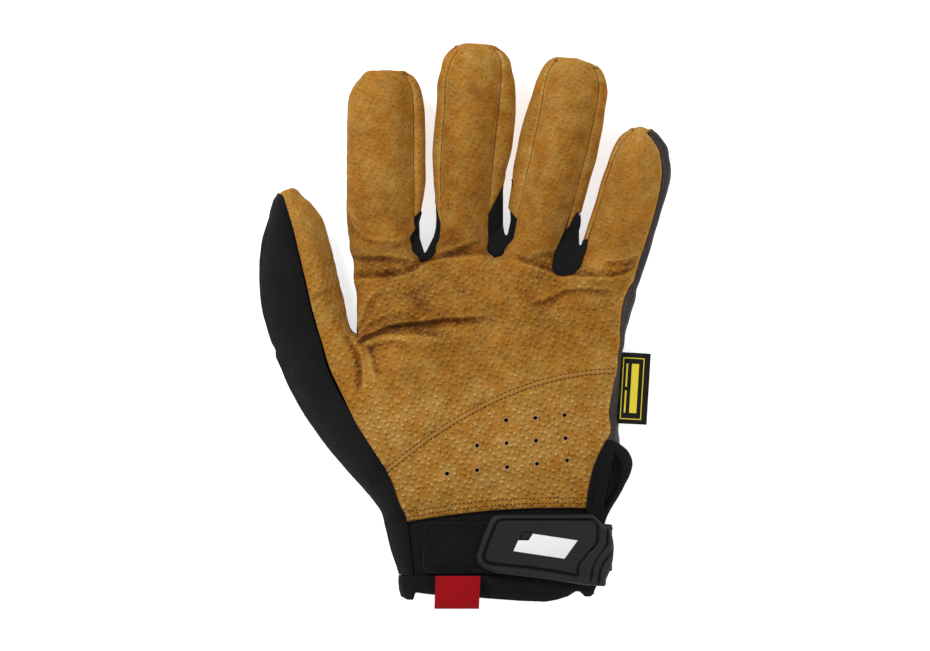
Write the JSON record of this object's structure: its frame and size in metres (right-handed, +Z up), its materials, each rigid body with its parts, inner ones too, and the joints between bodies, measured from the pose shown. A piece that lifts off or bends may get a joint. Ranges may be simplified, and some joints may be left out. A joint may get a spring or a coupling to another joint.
{
  "type": "mechanic glove",
  "caption": "Left-hand work glove with a suede palm, stretch side walls, pierced heel, ribbed cuff, side slit, rubber strap tab and pull loop, lying palm up.",
  "frame": {"origin": "centre of the glove's box, on the surface that it lies on", "axes": "+Y to the fingertips, +Z up out of the palm, +X to the little finger"},
  "size_m": [0.1776, 0.2438, 0.0299],
  "materials": {
    "suede": "napped, matt",
    "dark_leather": "grained, satin",
    "stretch_cloth": "matt",
    "woven_cloth": "matt weave",
    "knit": "ribbed, matt",
    "binding": "matt weave",
    "loop_pile": "matt loops",
    "rubber": "moulded, satin",
    "inlay": "matt",
    "elastic": "ribbed, matt",
    "webbing": "ribbed weave",
    "label_cloth": "matt weave"
  },
  "bodies": {
    "root": {"palm_panel": "suede", "heel_panel": "suede", "index_right_strip": "suede", "middle_left_strip": "suede", "middle_right_strip": "suede", "ring_left_strip": "suede", "ring_right_strip": "suede", "pinky_left_strip": "suede", "fourchette_index_middle": "stretch_cloth", "fourchette_middle_ring": "stretch_cloth", "fourchette_ring_pinky": "stretch_cloth", "thumb_side_panel": "woven_cloth", "back_panel": "dark_leather", "cuff_front": "knit", "cuff_back": "knit", "hem_binding": "binding", "slit_binding": "binding", "loop_patch": "loop_pile", "strap_tab": "rubber", "tab_inlay": "inlay", "closure_strap": "elastic", "pull_loop": "webbing", "side_label": "label_cloth"}
  },
  "joints": []
}
